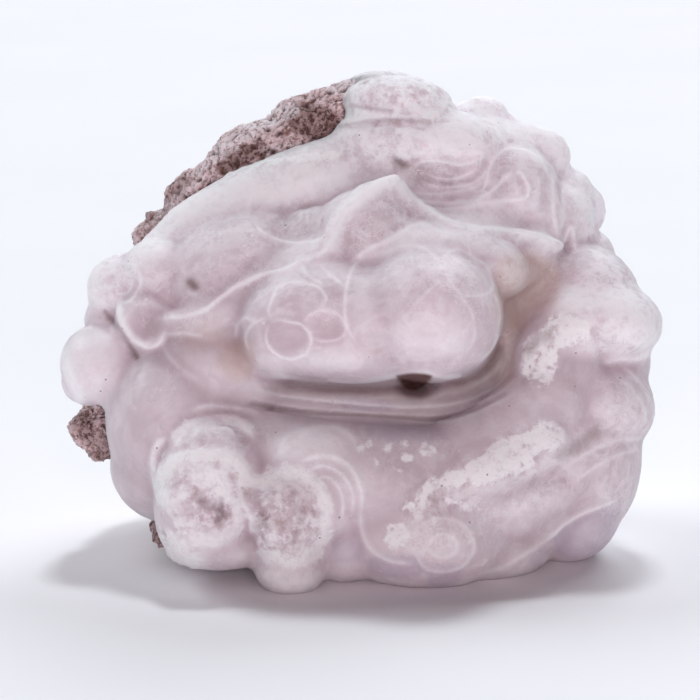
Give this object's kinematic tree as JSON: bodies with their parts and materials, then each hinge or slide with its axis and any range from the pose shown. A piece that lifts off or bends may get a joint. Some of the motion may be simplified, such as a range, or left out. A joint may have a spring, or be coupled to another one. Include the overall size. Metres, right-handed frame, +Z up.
{
  "type": "chalcedony druse",
  "caption": "Rounded, lobed lump of pale chalcedony with a deep slot across its front and a rind of pitted brown host rock over its left back, standing on its worn underside.",
  "frame": {"origin": "middle of the bounding box, at the height of the surface that the stone stands on", "axes": "+Z up, -Y towards the slotted front, +X to the right as seen from the front"},
  "size_m": [0.0598, 0.048, 0.0472],
  "materials": {
    "chalcedony": "waxy, translucent, with chalky white crests",
    "host_rock": "rough and pitted, matte"
  },
  "bodies": {
    "root": {"chalcedony": "chalcedony", "host_rock": "host_rock"}
  },
  "joints": []
}
